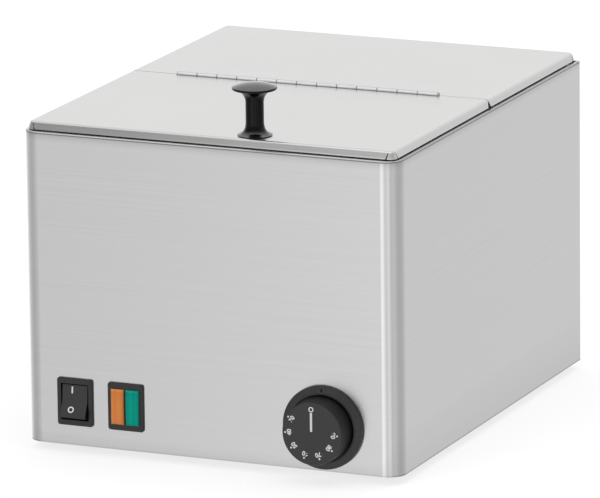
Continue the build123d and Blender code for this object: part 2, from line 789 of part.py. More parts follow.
with BuildPart() as lid_knob_stud:
    with BuildSketch(Plane.XY.offset(lid_top)):
        with Locations((lid_knob_x, lid_knob_y)):
            Circle(stud_radius)
    extrude(amount=stud_height)
    with BuildSketch(Plane.XY.offset(lid_top)):
        with Locations((lid_knob_x, lid_knob_y)):
            Circle(stud_base_radius)
    extrude(amount=stud_base_height)
lid_knob_stud.part.label = "lid_knob_stud"
export_step(lid_knob_stud.part, "parts/lid_knob_stud.step")


def control_block(x, depth):
    """A switch or lamp before it is hollowed: bezel, body and terminal blades at x."""
    with BuildPart() as block:
        with BuildSketch(facing_front(front_y)):
            with Locations((x, control_z)):
                RectangleRounded(bezel_width, bezel_height, bezel_corner_radius)
        extrude(amount=bezel_thickness)
        fillet(block.faces().sort_by(Axis.Y)[0].edges(), bezel_edge_radius)
        with BuildSketch(facing_front(front_y)):
            with Locations((x, control_z)):
                Rectangle(control_body_width, control_body_height)
        extrude(amount=-depth)
        with BuildSketch(facing_front(front_y + depth)):
            with Locations((x, control_z)):
                with GridLocations(2 * blade_pitch, 2 * blade_pitch, 2, 2):
                    Rectangle(blade_thickness, blade_width)
        extrude(amount=-blade_length)
    return block.part


# Rocker switch: housing with a well, and the rocker shown pressed to ON
with BuildPart() as switch_housing:
    add(control_block(switch_x, switch_depth))
    with BuildSketch(facing_front(front_y - bezel_thickness)):
        with Locations((switch_x, control_z)):
            Rectangle(rocker_window_width, rocker_window_height)
    extrude(amount=-rocker_well_depth, mode=Mode.SUBTRACT)
    trunnion_span = rocker_width + 2 * (trunnion_length + running_clearance)
    with BuildSketch(Plane.YZ.offset(switch_x)):
        with Locations((pivot_y, control_z)):
            Circle(trunnion_radius + running_clearance)
    extrude(amount=trunnion_span / 2, both=True, mode=Mode.SUBTRACT)
switch_housing.part.label = "switch_housing"
export_step(switch_housing.part, "parts/switch_housing.step")

rocker_face_y = front_y - bezel_thickness
rocker_reach = 2 * rocker_radius
rocker_sunk_y = rocker_face_y + rocker_reach * tan(radians(rocker_sink))
rocker_proud_y = rocker_face_y - rocker_reach * tan(radians(rocker_tilt + rocker_sink))
with BuildPart() as rocker:
    with BuildSketch(Plane.YZ.offset(switch_x)):
        with Locations((pivot_y, control_z)):
            Circle(rocker_radius)
        with BuildLine():
            Polyline(
                (rocker_sunk_y, control_z + rocker_reach),
                (rocker_face_y, control_z),
                (rocker_proud_y, control_z - rocker_reach),
                (rocker_face_y - 2 * rocker_reach, control_z - rocker_reach),
                (rocker_face_y - 2 * rocker_reach, control_z + rocker_reach),
                close=True,
            )
        make_face(mode=Mode.SUBTRACT)
        with Locations((rocker_face_y + rocker_back + rocker_radius, control_z)):
            Rectangle(2 * rocker_radius, 2 * rocker_reach, mode=Mode.SUBTRACT)
    extrude(amount=rocker_width / 2, both=True)
    with BuildSketch(Plane.YZ.offset(switch_x)):
        with Locations((pivot_y, control_z)):
            Circle(trunnion_radius)
    extrude(amount=rocker_width / 2 + trunnion_length, both=True)
rocker.part.label = "rocker"
export_step(rocker.part, "parts/rocker.step")

# Pilot lamps: one housing and two lenses side by side
lens_offset = (lens_width + lens_rib) / 2
with BuildPart() as lamp_housing:
    add(control_block(lamp_x, lamp_depth))
    with BuildSketch(facing_front(front_y - bezel_thickness)):
        with Locations((lamp_x - lens_offset, control_z), (lamp_x + lens_offset, control_z)):
            Rectangle(lens_width, lens_height)
    extrude(amount=-lens_depth, mode=Mode.SUBTRACT)
lamp_housing.part.label = "lamp_housing"
export_step(lamp_housing.part, "parts/lamp_housing.step")


def pilot_lens(x):
    """A lens block at x that fills its pocket and stands proud with chamfered edges."""
    with BuildPart() as lens:
        with BuildSketch(facing_front(front_y - bezel_thickness + lens_depth)):
            with Locations((x, control_z)):
                Rectangle(lens_width, lens_height)
        extrude(amount=lens_depth + lens_proud)
        chamfer(lens.faces().sort_by(Axis.Y)[0].edges(), lens_chamfer)
    return lens.part


with BuildPart() as lens_orange:
    add(pilot_lens(lamp_x - lens_offset))
lens_orange.part.label = "lens_orange"
export_step(lens_orange.part, "parts/lens_orange.step")

with BuildPart() as lens_green:
    add(pilot_lens(lamp_x + lens_offset))
lens_green.part.label = "lens_green"
export_step(lens_green.part, "parts/lens_green.step")

# Thermostat dial: sections are drawn as radius and distance in front of the casing
dial_section = Plane(origin=(dial_x, front_y, control_z), x_dir=(1, 0, 0), z_dir=(0, 0, -1))
dial_axis = Axis((dial_x, front_y, control_z), (0, -1, 0))

with BuildPart() as dial_ring:
    with BuildSketch(dial_section):
        with BuildLine():
            Polyline(
                (bush_radius + hole_clearance, 0), (ring_radius, 0), (ring_radius, ring_edge),
                (ring_crest_radius, ring_crest), (ring_opening_radius, ring_crest),
                (ring_opening_radius, ring_floor), (bush_radius + hole_clearance, ring_floor),
                close=True,
            )
        make_face()
    revolve(axis=dial_axis)
    with BuildSketch(facing_front(front_y - ring_crest)):
        with Locations((dial_x, control_z + (ring_radius + ring_opening_radius) / 2)):
            Rectangle(index_width, index_length)
    extrude(amount=index_depth - ring_crest + ring_floor, mode=Mode.SUBTRACT)
    with BuildSketch(facing_front(front_y)):
        with Locations((dial_x, control_z)):
            with GridLocations(mount_screw_spacing, 1, 2, 1):
                Circle(screw_radius + hole_clearance)
    extrude(amount=ring_floor, mode=Mode.SUBTRACT)
dial_ring.part.label = "dial_ring"
export_step(dial_ring.part, "parts/dial_ring.step")

dial_back = ring_floor + 2 * drop_in_clearance
shaft_front = dial_reach - dial_wall - dial_edge_radius
with BuildPart() as dial_knob:
    with BuildSketch(dial_section):
        with BuildLine():
            Polyline(
                (0, dial_back), (dial_hub_radius, dial_back),
                (dial_hub_radius, dial_reach - dial_wall),
                (dial_radius - dial_wall, dial_reach - dial_wall),
                (dial_base_radius - dial_wall, dial_back), (dial_base_radius, dial_back),
                (dial_radius, dial_reach), (0, dial_reach), close=True,
            )
        make_face()
    revolve(axis=dial_axis)
    fillet(dial_knob.faces().sort_by(Axis.Y)[0].edges(), dial_edge_radius)
    with BuildSketch(facing_front(front_y - dial_back)):
        with Locations((dial_x, control_z)):
            Circle(shaft_radius + running_clearance)
        with Locations((dial_x, control_z + 2 * shaft_radius - shaft_flat + running_clearance)):
            Rectangle(3 * shaft_radius, 2 * shaft_radius, mode=Mode.SUBTRACT)
    extrude(amount=shaft_front - dial_back, mode=Mode.SUBTRACT)
dial_knob.part.label = "dial_knob"
export_step(dial_knob.part, "parts/dial_knob.step")

# Thermostat: body behind the panel, bush through it, and the flatted shaft that turns in it
with BuildPart() as thermostat:
    with BuildSketch(facing_front(front_y + sheet)):
        with Locations((dial_x, control_z)):
            Rectangle(thermostat_width, thermostat_height)
    extrude(amount=-thermostat_depth)
    fillet(thermostat.edges().filter_by(Axis.Y), thermostat_edge_radius)
    with BuildSketch(facing_front(front_y + sheet)):
        with Locations((dial_x, control_z)):
            Circle(bush_radius)
    extrude(amount=bush_length)
    with BuildSketch(facing_front(front_y + sheet - bush_length)):
        with Locations((dial_x, control_z)):
            Circle(shaft_radius + running_clearance)
    extrude(amount=-bush_length - shaft_hold - running_clearance, mode=Mode.SUBTRACT)
    with BuildSketch(facing_front(front_y + sheet)):
        with Locations((dial_x, control_z)):
            with GridLocations(mount_screw_spacing, 1, 2, 1):
                Circle(screw_radius + running_clearance)
    extrude(amount=-screw_grip, mode=Mode.SUBTRACT)
thermostat.part.label = "thermostat"
export_step(thermostat.part, "parts/thermostat.step")

with BuildPart() as dial_shaft:
    with BuildSketch(facing_front(front_y + sheet + shaft_hold)):
        with Locations((dial_x, control_z)):
            Circle(shaft_radius)
    extrude(amount=shaft_hold + sheet + dial_back)
    with BuildSketch(facing_front(front_y - dial_back)):
        with Locations((dial_x, control_z)):
            Circle(shaft_radius)
        with Locations((dial_x, control_z + 2 * shaft_radius - shaft_flat)):
            Rectangle(3 * shaft_radius, 2 * shaft_radius, mode=Mode.SUBTRACT)
    extrude(amount=shaft_front - dial_back)
dial_shaft.part.label = "dial_shaft"
export_step(dial_shaft.part, "parts/dial_shaft.step")

with BuildPart(facing_front(front_y - ring_floor)) as thermostat_screws:
    with Locations((dial_x, control_z)):
        with GridLocations(mount_screw_spacing, 1, 2, 1):
            add(pan_screw(ring_floor + sheet + screw_grip - hole_clearance))
thermostat_screws.part.label = "thermostat_screws"
export_step(thermostat_screws.part, "parts/thermostat_screws.step")

# Heating element: a flattened tube bent into an open ring, pressed to the tank's floor
element_middle = tank_under - element_height / 2
ring_front = front_y + element_front
ring_back = back_y - element_back
element_points = [
    (element_tail_x, ring_back - element_tail, element_middle),
    (element_tail_x, ring_back, element_middle),
    (element_half_width, ring_back, element_middle),
    (element_half_width, ring_front, element_middle),
    (-element_half_width, ring_front, element_middle),
    (-element_half_width, ring_back, element_middle),
    (-element_tail_x, ring_back, element_middle),
    (-element_tail_x, ring_back - element_tail, element_middle),
]
with BuildPart() as heating_element:
    with BuildLine() as element_path:
        FilletPolyline(*element_points, radius=element_bend)
    with BuildSketch(Plane(element_path.line @ 0, x_dir=(1, 0, 0), z_dir=element_path.line % 0)):
        SlotOverall(element_width, element_height)
    sweep(path=element_path.line)
heating_element.part.label = "heating_element"
export_step(heating_element.part, "parts/heating_element.step")

# Clamp bars under the element, on studs welded to the tank's floor
bar_top = tank_under - element_height
stud_points = [(0, front_y + clamp_front), (0, back_y - clamp_back)]
with BuildPart() as clamp_bars:
    with BuildSketch(Plane.XY.offset(bar_top)):
        with Locations(*stud_points):
            RectangleRounded(2 * clamp_half_length, clamp_width, clamp_width / 4)
            Circle(heater_stud_radius + hole_clearance, mode=Mode.SUBTRACT)
    extrude(amount=-clamp_thickness)
clamp_bars.part.label = "clamp_bars"
export_step(clamp_bars.part, "parts/clamp_bars.step")

with BuildPart() as clamp_studs:
    with BuildSketch(Plane.XY.offset(tank_under)):
        with Locations(*stud_points):
            Circle(heater_stud_radius)
    extrude(amount=-heater_stud_length)
clamp_studs.part.label = "clamp_studs"
export_step(clamp_studs.part, "parts/clamp_studs.step")

with BuildPart(Plane.XY.offset(bar_top - clamp_thickness - nut_thickness)) as clamp_nuts:
    with Locations(*stud_points):
        add(hex_nut(heater_stud_radius, nut_thickness))
clamp_nuts.part.label = "clamp_nuts"
export_step(clamp_nuts.part, "parts/clamp_nuts.step")

# Sensor: bulb under the tank's floor, and the capillary tube to the thermostat
bulb_z = tank_under - bulb_gap - bulb_radius
bulb_start = front_y + bulb_front
thermostat_back = front_y + sheet + thermostat_depth
capillary_turn = thermostat_back + 4 * capillary_bend
capillary_points = [
    (bulb_x, bulb_start, bulb_z),
    (bulb_x, bulb_start - 2 * capillary_bend, bulb_z),
    (bulb_x, capillary_turn, control_z),
    (dial_x, capillary_turn - capillary_bend, control_z),
    (dial_x, thermostat_back, control_z),
]
with BuildPart() as sensor:
    with BuildSketch(facing_front(bulb_start)):
        with Locations((bulb_x, bulb_z)):
            Circle(bulb_radius)
    extrude(amount=-bulb_length)
    with BuildLine() as capillary_path:
        FilletPolyline(*capillary_points, radius=capillary_bend)
    with BuildSketch(facing_front(bulb_start)):
        with Locations((bulb_x, bulb_z)):
            Circle(capillary_radius)
    sweep(path=capillary_path.line)
sensor.part.label = "sensor"
export_step(sensor.part, "parts/sensor.step")

with BuildPart() as bulb_clip:
    with BuildSketch(facing_front(bulb_start + (bulb_length - clip_length) / 2)):
        clip_height = 2 * bulb_radius + bulb_gap + clip_wall
        with Locations((bulb_x, tank_under - clip_height / 2)):
            Rectangle(2 * (bulb_radius + clip_wall), clip_height)
        with Locations((bulb_x, bulb_z)):
            Circle(bulb_radius, mode=Mode.SUBTRACT)
    extrude(amount=-clip_length)
bulb_clip.part.label = "bulb_clip"
export_step(bulb_clip.part, "parts/bulb_clip.step")

# Safety cut-out: a disc thermostat with two ears on small studs
cutout_y = front_y + cutout_back
with BuildPart() as safety_cutout:
    with BuildSketch(Plane.XY.offset(tank_under)):
        with Locations((cutout_x, cutout_y)):
            SlotOverall(cutout_ear_length, cutout_ear_width)
            with GridLocations(cutout_stud_spacing, 1, 2, 1):
                Circle(small_stud_radius + hole_clearance, mode=Mode.SUBTRACT)
    extrude(amount=-cutout_ear_thickness)
    with BuildSketch(Plane.XY.offset(tank_under)):
        with Locations((cutout_x, cutout_y)):
            Circle(cutout_radius)
    extrude(amount=-cutout_height)
    with BuildSketch(Plane.XY.offset(tank_under - cutout_height)):
        with Locations((cutout_x, cutout_y)):
            with GridLocations(blade_pitch, 1, 2, 1):
                Rectangle(blade_thickness, blade_width)
    extrude(amount=-blade_length)
safety_cutout.part.label = "safety_cutout"
export_step(safety_cutout.part, "parts/safety_cutout.step")

with BuildPart() as cutout_studs:
    with BuildSketch(Plane.XY.offset(tank_under)):
        with Locations((cutout_x, cutout_y)):
            with GridLocations(cutout_stud_spacing, 1, 2, 1):
                Circle(small_stud_radius)
    extrude(amount=-small_stud_length)
cutout_studs.part.label = "cutout_studs"
export_step(cutout_studs.part, "parts/cutout_studs.step")

with BuildPart(Plane.XY.offset(tank_under - cutout_ear_thickness - nut_thickness)) as cutout_nuts:
    with Locations((cutout_x, cutout_y)):
        with GridLocations(cutout_stud_spacing, 1, 2, 1):
            add(hex_nut(small_stud_radius, nut_thickness))
cutout_nuts.part.label = "cutout_nuts"
export_step(cutout_nuts.part, "parts/cutout_nuts.step")

# Terminal block and earth stud stand on the base plate
block_y = back_y - block_back
with BuildPart() as terminal_block:
    with BuildSketch(Plane.XY.offset(base_top)):
        with Locations((block_x, block_y)):
            Rectangle(block_length, block_width)
    extrude(amount=block_height)
    with BuildSketch(Plane.XY.offset(base_top + block_height)):
        with Locations((block_x, block_y)):
            with GridLocations(block_pole_pitch, 1, block_poles, 1):
                Circle(block_bore_radius)
    extrude(amount=-block_step, mode=Mode.SUBTRACT)
    with BuildSketch(Plane.XY.offset(base_top)):
        with Locations((block_x, block_y)):
            Circle(screw_radius + running_clearance)
    extrude(amount=screw_grip, mode=Mode.SUBTRACT)
terminal_block.part.label = "terminal_block"
export_step(terminal_block.part, "parts/terminal_block.step")

with BuildPart(Plane.XY.offset(foot_height)) as block_screw:
    with Locations((block_x, block_y)):
        add(pan_screw(screw_grip), rotation=(180, 0, 0))
block_screw.part.label = "block_screw"
export_step(block_screw.part, "parts/block_screw.step")

with BuildPart(Plane.XY.offset(foot_height)) as earth_screw:
    with Locations((earth_x, block_y)):
        add(pan_screw(sheet + 3 * nut_thickness), rotation=(180, 0, 0))
earth_screw.part.label = "earth_screw"
export_step(earth_screw.part, "parts/earth_screw.step")

with BuildPart(Plane.XY.offset(base_top)) as earth_nut:
    with Locations((earth_x, block_y)):
        add(hex_nut(screw_radius, nut_thickness))
earth_nut.part.label = "earth_nut"
export_step(earth_nut.part, "parts/earth_nut.step")
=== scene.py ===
"""The looks of the sausage warmer: its finishes, printed marks, screw threads, studio and camera."""

import json
import math

import bmesh
import bpy
from mathutils import Matrix, Vector

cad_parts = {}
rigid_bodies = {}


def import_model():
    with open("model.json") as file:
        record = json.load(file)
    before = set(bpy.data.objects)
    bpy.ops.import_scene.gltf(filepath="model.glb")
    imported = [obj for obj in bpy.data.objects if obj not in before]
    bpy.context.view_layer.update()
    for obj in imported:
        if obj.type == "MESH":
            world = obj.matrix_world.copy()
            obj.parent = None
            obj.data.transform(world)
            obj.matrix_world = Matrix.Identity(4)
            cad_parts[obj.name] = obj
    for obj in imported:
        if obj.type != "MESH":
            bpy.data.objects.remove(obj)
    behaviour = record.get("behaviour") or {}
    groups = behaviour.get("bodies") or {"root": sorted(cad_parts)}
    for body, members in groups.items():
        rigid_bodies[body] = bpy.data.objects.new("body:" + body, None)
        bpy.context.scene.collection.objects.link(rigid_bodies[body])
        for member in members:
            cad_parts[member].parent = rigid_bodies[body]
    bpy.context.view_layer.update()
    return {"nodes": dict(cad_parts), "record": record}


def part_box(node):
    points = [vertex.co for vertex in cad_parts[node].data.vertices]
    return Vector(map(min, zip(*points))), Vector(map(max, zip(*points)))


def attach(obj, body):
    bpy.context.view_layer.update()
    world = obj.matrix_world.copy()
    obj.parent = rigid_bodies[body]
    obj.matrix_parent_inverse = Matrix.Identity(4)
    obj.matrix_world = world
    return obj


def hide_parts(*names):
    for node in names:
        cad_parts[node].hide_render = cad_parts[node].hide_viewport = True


for leftover in list(bpy.data.objects):
    bpy.data.objects.remove(leftover)
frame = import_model()
MM = 0.001


def middle(node):
    """The middle of a CAD node's box."""
    low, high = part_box(node)
    return (low + high) / 2


# The camera, as fitted to the casing's and the lid's edges in the photograph

IMAGE_WIDTH = 600
VIEW_POINT = Vector((1878.02, -4346.28, 1276.99)) * MM
VIEW_TARGET = Vector((0.0, -0.25, 111.5)) * MM
ROLL = math.radians(-0.648)
SENSOR_WIDTH = 36.0
LENS = 431.6
SHIFT_X_PIXELS = -7.43
SHIFT_Y_PIXELS = -0.63


def turned_to_target(place):
    """The turn of a camera or a lamp at this place that looks at the view's target."""
    return (VIEW_TARGET - place).to_track_quat("-Z", "Y")


def add_camera():
    camera = bpy.data.cameras.new("camera")
    camera.sensor_width = SENSOR_WIDTH
    camera.lens = LENS
    camera.shift_x = SHIFT_X_PIXELS / IMAGE_WIDTH
    camera.shift_y = SHIFT_Y_PIXELS / IMAGE_WIDTH
    camera.clip_end = 100.0
    view = bpy.data.objects.new("camera", camera)
    bpy.context.scene.collection.objects.link(view)
    turn = turned_to_target(VIEW_POINT).to_matrix().to_4x4()
    view.matrix_world = Matrix.Translation(VIEW_POINT) @ turn @ Matrix.Rotation(ROLL, 4, "Z")
    bpy.context.scene.camera = view


add_camera()


# Materials

class Finish:
    """A node material, with short calls that add its nodes and link them."""

    def __init__(self, name):
        self.start(bpy.data.materials.new(name), "ShaderNodeBsdfPrincipled", "ShaderNodeOutputMaterial")
        coordinates = self.node("ShaderNodeTexCoord")
        self.place = coordinates.outputs["Object"]
        self.normal = coordinates.outputs["Normal"]

    def start(self, material, surface, output):
        """Empties the material's node tree, and links a new surface to its output."""
        self.material = material
        material.use_nodes = True
        self.tree = material.node_tree
        self.tree.nodes.clear()
        self.surface = self.node(surface)
        self.put(self.node(output).inputs["Surface"], self.surface.outputs[0])

    def node(self, kind, **settings):
        made = self.tree.nodes.new(kind)
        for name, value in settings.items():
            setattr(made, name, value)
        return made

    def put(self, socket, value):
        """Links a socket to another node's output, or sets it to a plain value."""
        if isinstance(value, bpy.types.NodeSocket):
            self.tree.links.new(value, socket)
        else:
            socket.default_value = value

    def set(self, **values):
        """Sets the surface's own inputs, named in lower case with underscores."""
        for name, value in values.items():
            title = " ".join(word.capitalize() for word in name.split("_"))
            self.put(self.surface.inputs[title.replace("Ior", "IOR")], value)

    def math(self, operation, *values):
        made = self.node("ShaderNodeMath", operation=operation)
        for socket, value in zip(made.inputs, values):
            self.put(socket, value)
        return made.outputs[0]

    def product(self, first, *others):
        for other in others:
            first = self.math("MULTIPLY", first, other)
        return first

    def vector(self, operation, *values):
        made = self.node("ShaderNodeVectorMath", operation=operation)
        for socket, value in zip(made.inputs, values):
            self.put(socket, value)
        return made.outputs["Value" if operation == "LENGTH" else "Vector"]

    def part(self, axis, vector):
        """One coordinate of a vector, by the name of its axis."""
        split = self.node("ShaderNodeSeparateXYZ")
        self.put(split.inputs[0], vector)
        return split.outputs[axis]

    def turned(self, axis):
        """How far the surface faces along an axis of the piece's own frame, either way, from 0 to 1."""
        return self.math("ABSOLUTE", self.part(axis, self.normal))

    def noise(self, scale, stretch=(1.0, 1.0, 1.0), detail=2.0, roughness=0.5):
        made = self.node("ShaderNodeTexNoise")
        self.put(made.inputs["Vector"], self.vector("MULTIPLY", self.place, stretch))
        self.put(made.inputs["Scale"], scale)
        self.put(made.inputs["Detail"], detail)
        self.put(made.inputs["Roughness"], roughness)
        return made.outputs[0]

    def spread(self, value, low, high, start=0.3, end=0.7):
        """A level that goes from low to high while the value goes from start to end."""
        made = self.node("ShaderNodeMapRange")
        self.put(made.inputs["Value"], value)
        self.put(made.inputs["From Min"], start)
        self.put(made.inputs["From Max"], end)
        self.put(made.inputs["To Min"], low)
        self.put(made.inputs["To Max"], high)
        return made.outputs[0]

    def curve(self, value, points):
        """A level read off a smooth curve through these points, which run from 0 to 1."""
        made = self.node("ShaderNodeFloatCurve")
        line = made.mapping.curves[0]
        line.points[0].location = points[0]
        line.points[1].location = points[-1]
        for place, level in points[1:-1]:
            line.points.new(place, level)
        made.mapping.update()
        self.put(made.inputs["Value"], value)
        return made.outputs[0]

    def colour(self, share, first, second):
        made = self.node("ShaderNodeMix", data_type="RGBA")
        self.put(made.inputs["Factor"], share)
        self.put(made.inputs[6], (*first, 1.0))
        self.put(made.inputs[7], (*second, 1.0))
        return made.outputs[2]

    def mix(self, share, first, second):
        made = self.node("ShaderNodeMix", data_type="FLOAT")
        self.put(made.inputs["Factor"], share)
        self.put(made.inputs[2], first)
        self.put(made.inputs[3], second)
        return made.outputs[0]

    def bump(self, height, distance, strength):
        made = self.node("ShaderNodeBump")
        self.put(made.inputs["Height"], height)
        self.put(made.inputs["Distance"], distance)
        self.put(made.inputs["Strength"], strength)
        self.set(normal=made.outputs[0])


# The casing's crease is where its hem's folded edge ends. Its painted shade runs from below it to above
# it.
CREASE_UNDER_TOP = 1.1 * MM
CREASE_LIFT_ON_SIDES = 0.45 * MM
SHADE_BELOW_CREASE, SHADE_ABOVE_CREASE = 6.0 * MM, 1.2 * MM
CREASE_PAINTED_SHADE = (
    (0.0, 1.0), (0.3, 0.96), (0.55, 0.88), (0.74, 0.8), (0.79, 0.74),
    (0.82, 0.36), (0.85, 0.36), (0.88, 0.72), (1.0, 0.84),
)
# Where the painted shade of the sides' rim, the bottom bend and the lower walls sets in, and the span of
# the front's painted highlight
SIDE_RIM_START, SIDE_RIM_END = 0.6 * MM, 0.3 * MM
BEND_HEIGHT = 1.5 * MM
FADE_START, FADE_END_ON_FRONT, FADE_END_ON_SIDES = 1.0 * MM, 8.0 * MM, 34.0 * MM
FRONT_LEFT, FRONT_RIGHT = -110.0 * MM, 125.0 * MM


def casing_shade(steel):
    """Painted light on the casing: painted shade at its crease, at its bottom bend and towards the bottom,
    and a painted highlight at the front's right.
    """
    low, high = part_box("casing")
    height = steel.part("Z", steel.place)
    on_side = steel.turned("X")
    crease = high.z - CREASE_UNDER_TOP
    lowered = steel.math("SUBTRACT", height, steel.product(on_side, CREASE_LIFT_ON_SIDES))
    share = steel.spread(lowered, 0.0, 1.0, crease - SHADE_BELOW_CREASE, crease + SHADE_ABOVE_CREASE)
    # Painted shade: a dark line at the crease, a darker rim on the sides, the bottom bend and the lower
    # walls
    painted_crease_shade = steel.curve(share, CREASE_PAINTED_SHADE)
    painted_rim_line = steel.spread(lowered, 1.0, 0.68, crease - SIDE_RIM_START, crease - SIDE_RIM_END)
    painted_rim_shade = steel.mix(on_side, 1.0, painted_rim_line)
    painted_bend_level = steel.mix(on_side, 0.84, 0.55)
    painted_bend_shade = steel.spread(height, painted_bend_level, 1.0, low.z, low.z + BEND_HEIGHT)
    painted_low_shade_end = steel.mix(on_side, low.z + FADE_END_ON_FRONT, low.z + FADE_END_ON_SIDES)
    painted_low_shade = steel.spread(height, 0.91, 1.0, low.z + FADE_START, painted_low_shade_end)
    # Painted highlight: the front gets lighter towards its right
    to_right = steel.spread(steel.part("X", steel.place), 0.045, 0.12, FRONT_LEFT, FRONT_RIGHT)
    painted_shine = steel.math("ADD", steel.product(to_right, steel.turned("Y")), 0.972)
    return steel.product(painted_crease_shade, painted_rim_shade, painted_bend_shade, painted_low_shade, painted_shine)


# Spans of the painted reflection on the lid's flange, of its lip's painted highlight, and of the painted
# shadow before the hinge's barrel
FLANGE_LEFT, FLANGE_RIGHT = -130.0 * MM, 125.0 * MM
LIP_START, LIP_END = 0.5 * MM, 1.0 * MM
BARREL_WIDTH = 3.5 * MM
CREASE_BEFORE_BARREL_START, CREASE_BEFORE_BARREL_END = 2.2 * MM, 0.8 * MM
CREASE_HIDDEN_BEHIND = 2.0 * MM


def lid_shade(steel):
    """Painted light on the lid: a painted reflection on its front flange, a painted highlight on its lip,
    painted shade at its bends, and a painted shadow in the crease before the hinge.
    """
    across, along = steel.part("X", steel.place), steel.part("Y", steel.place)
    to_front = steel.part("Y", steel.normal)
    # Painted reflection: the front flange lightens towards the right
    on_flange = steel.spread(to_front, 0.0, 1.0, -0.5, -0.9)
    painted_flange_shine = steel.mix(on_flange, 1.0, steel.spread(across, 0.8, 1.3, FLANGE_LEFT, FLANGE_RIGHT))
    # Painted shade where the top bends into the flange
    above_bend = steel.spread(to_front, 1.0, 0.82, -0.02, -0.3)
    below_bend = steel.spread(to_front, 1.0, 0.82, -0.9, -0.5)
    painted_bend_shade = steel.math("MAXIMUM", above_bend, below_bend)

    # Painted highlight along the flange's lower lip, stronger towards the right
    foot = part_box("lid_front")[0].z
    painted_lip_level = steel.spread(across, 1.05, 1.4, FLANGE_LEFT, FLANGE_RIGHT)
    height = steel.part("Z", steel.place)
    painted_lip_highlight = steel.mix(on_flange, 1.0, steel.spread(height, painted_lip_level, 1.0, foot + LIP_START, foot + LIP_END))

    # Painted shadow in the crease before the hinge's barrel, left off behind and beside it
    hinge_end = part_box("hinge_leaf_front")[1]
    barrel = hinge_end.y - BARREL_WIDTH
    start, end = barrel - CREASE_BEFORE_BARREL_START, barrel - CREASE_BEFORE_BARREL_END
    painted_shadow_before_barrel = steel.spread(along, 1.0, 0.3, start, end)
    behind_barrel = steel.math("GREATER_THAN", along, barrel + CREASE_HIDDEN_BEHIND)
    beside_barrel = steel.math("GREATER_THAN", steel.math("ABSOLUTE", across), hinge_end.x)
    crease = steel.mix(steel.math("MAXIMUM", behind_barrel, beside_barrel), painted_shadow_before_barrel, 1.0)
    return steel.product(painted_flange_shine, painted_lip_highlight, painted_bend_shade, crease)


def brushed_steel(name, light, dark, roughness=(0.2, 0.3), anisotropy=0.6, painted_light=None):
    """Sheet steel brushed along the sheet: level round the walls, and from side to side on top. Painted
    light, if given, multiplies its colour.
    """
    along, fine, wide_along, wide = 5.0, 2400.0, 2.0, 520.0
    steel = Finish(name)
    flat = steel.math("GREATER_THAN", steel.turned("Z"), 0.7)
    streaks_on_walls = steel.noise(1.0, (along, along, fine), detail=3.0)
    streaks_on_top = steel.noise(1.0, (along, fine, along), detail=3.0)
    streaks = steel.mix(flat, streaks_on_walls, streaks_on_top)
    bands_on_walls = steel.noise(1.0, (wide_along, wide_along, wide))
    bands_on_top = steel.noise(1.0, (wide_along, wide, wide_along))
    bands = steel.mix(flat, bands_on_walls, bands_on_top)
    mottling = steel.noise(14.0, detail=4.0, roughness=0.6)
    lightness = steel.mix(0.3, streaks, steel.mix(0.5, bands, mottling))
    tint = steel.colour(steel.spread(lightness, 0.0, 1.0), dark, light)
    # Painted light, if given, multiplies the colour
    steel.set(base_color=steel.vector("MULTIPLY", tint, painted_light(steel)) if painted_light else tint)
    steel.set(roughness=steel.spread(steel.mix(0.5, streaks, mottling), *roughness))
    across_brushing = steel.node("ShaderNodeCombineXYZ")
    steel.put(across_brushing.inputs["Y"], 0.02)
    steel.put(across_brushing.inputs["Z"], 1.0)
    steel.set(metallic=1.0, anisotropic=anisotropy, tangent=across_brushing.outputs[0])
    steel.bump(streaks, 0.000005, 0.5)
    return steel.material


KNUCKLE_COUNT = 13
ROLL_START, ROLL_END = 0.9 * MM, 1.3 * MM


def rolled_hinge(name, light, dark, roughness):
    """Rolled knuckles, with painted shade in the gaps between them and along the seam where each sheet's
    end meets the leaf, and a painted highlight on their front.
    """
    low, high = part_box("hinge_leaf_front")
    lid_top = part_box("lid_front")[1].z
    pitch = (high.x - low.x) / KNUCKLE_COUNT
    hinge = Finish(name)
    to_front = hinge.part("Y", hinge.normal)
    turns = hinge.math("DIVIDE", hinge.math("SUBTRACT", hinge.part("X", hinge.place), low.x), pitch)
    from_gap = hinge.math("ABSOLUTE", hinge.math("SUBTRACT", turns, hinge.math("ROUND", turns)))
    # Painted shade in the gaps between the knuckles
    painted_gap_shade = hinge.spread(from_gap, 0.6, 1.0, 0.01, 0.04)
    height = hinge.part("Z", hinge.place)
    rolled = hinge.spread(height, 0.0, 1.0, lid_top + ROLL_START, lid_top + ROLL_END)
    # Painted shade along the seam on the barrel's upper rear
    from_seam = hinge.math("ABSOLUTE", hinge.math("SUBTRACT", to_front, 0.1))
    painted_seam_shade = hinge.mix(rolled, 1.0, hinge.spread(from_seam, 0.3, 1.0, 0.15, 0.4))
    # Painted highlight on the barrel's front
    painted_front_highlight = hinge.spread(to_front, 1.35, 1.0, -0.95, -0.7)
    cloud = hinge.spread(hinge.noise(300.0, detail=3.0), 0.0, 1.0)
    tint = hinge.colour(cloud, dark, light)
    hinge.set(base_color=hinge.vector("MULTIPLY", tint, hinge.product(painted_gap_shade, painted_seam_shade, painted_front_highlight)))
    hinge.set(roughness=hinge.spread(hinge.noise(900.0), *roughness), metallic=1.0)
    hinge.bump(hinge.noise(4000.0), 0.000005, 0.3)
    return hinge.material


def plated_metal(name, light, dark, roughness=(0.2, 0.4), scale=60.0):
    """Metal with a cloudy coat. Its patches, its roughness and its grain all follow from one scale."""
    metal = Finish(name)
    cloud = metal.noise(scale, detail=4.0, roughness=0.6)
    metal.set(base_color=metal.colour(metal.spread(cloud, 0.0, 1.0), dark, light))
    metal.set(roughness=metal.spread(metal.noise(scale * 3.0), *roughness), metallic=1.0)
    metal.bump(metal.noise(scale * 20.0), 0.00002, 0.4)
    return metal.material


